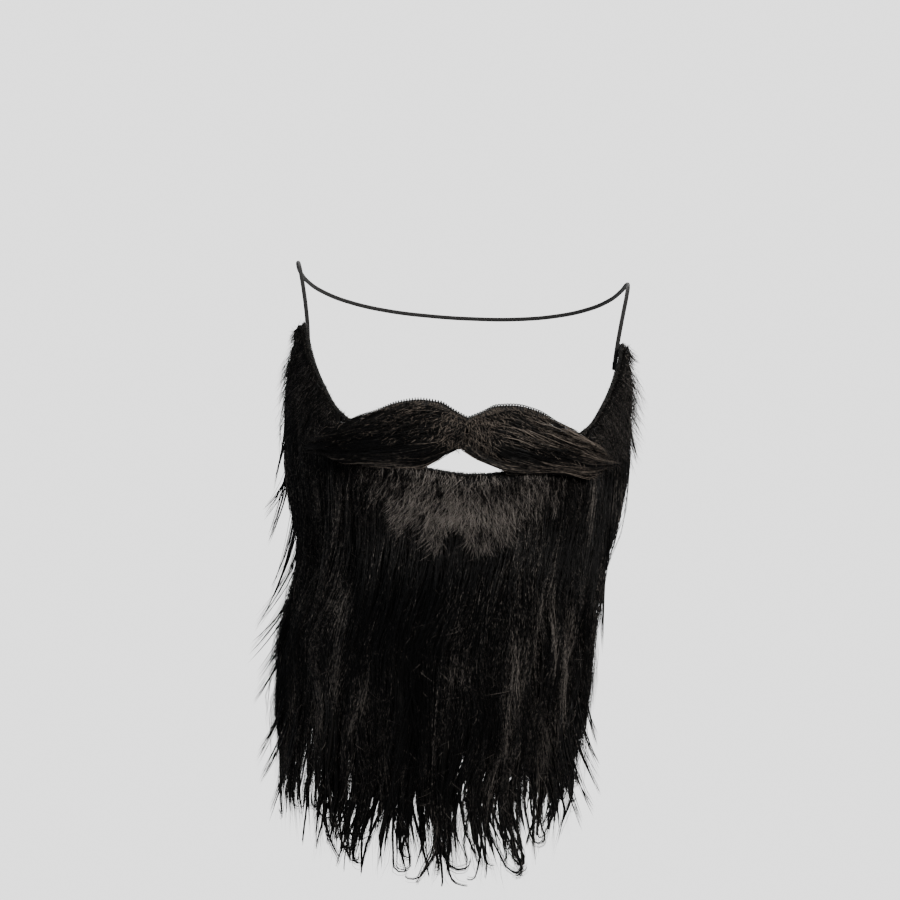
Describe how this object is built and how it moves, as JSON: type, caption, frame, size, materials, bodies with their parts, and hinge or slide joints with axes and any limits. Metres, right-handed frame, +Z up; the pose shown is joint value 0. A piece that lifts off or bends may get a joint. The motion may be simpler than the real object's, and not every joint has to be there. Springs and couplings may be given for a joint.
{
  "type": "fake beard",
  "caption": "Full costume beard worn over the lower face: knit backing, long straight hanging pile, separate two-winged moustache with a mouth opening, and an elastic behind the head.",
  "frame": {"origin": "middle of the wearer's upper lip, on the skin side of the moustache strip", "axes": "+Z up, +X to the wearer's left, -Y the way the wearer looks"},
  "size_m": [0.1636, 0.2197, 0.2666],
  "materials": {
    "knit": "matt black knit",
    "beard_hair": "black synthetic hair with a soft grey sheen",
    "moustache_hair": "black synthetic hair with brownish-grey highlights",
    "elastic": "matt black covered round elastic"
  },
  "bodies": {
    "root": {"beard_backing": "knit", "moustache_backing": "knit", "beard_hair": "beard_hair", "moustache_hair_left": "moustache_hair", "moustache_hair_right": "moustache_hair", "elastic_cord": "elastic"}
  },
  "joints": []
}
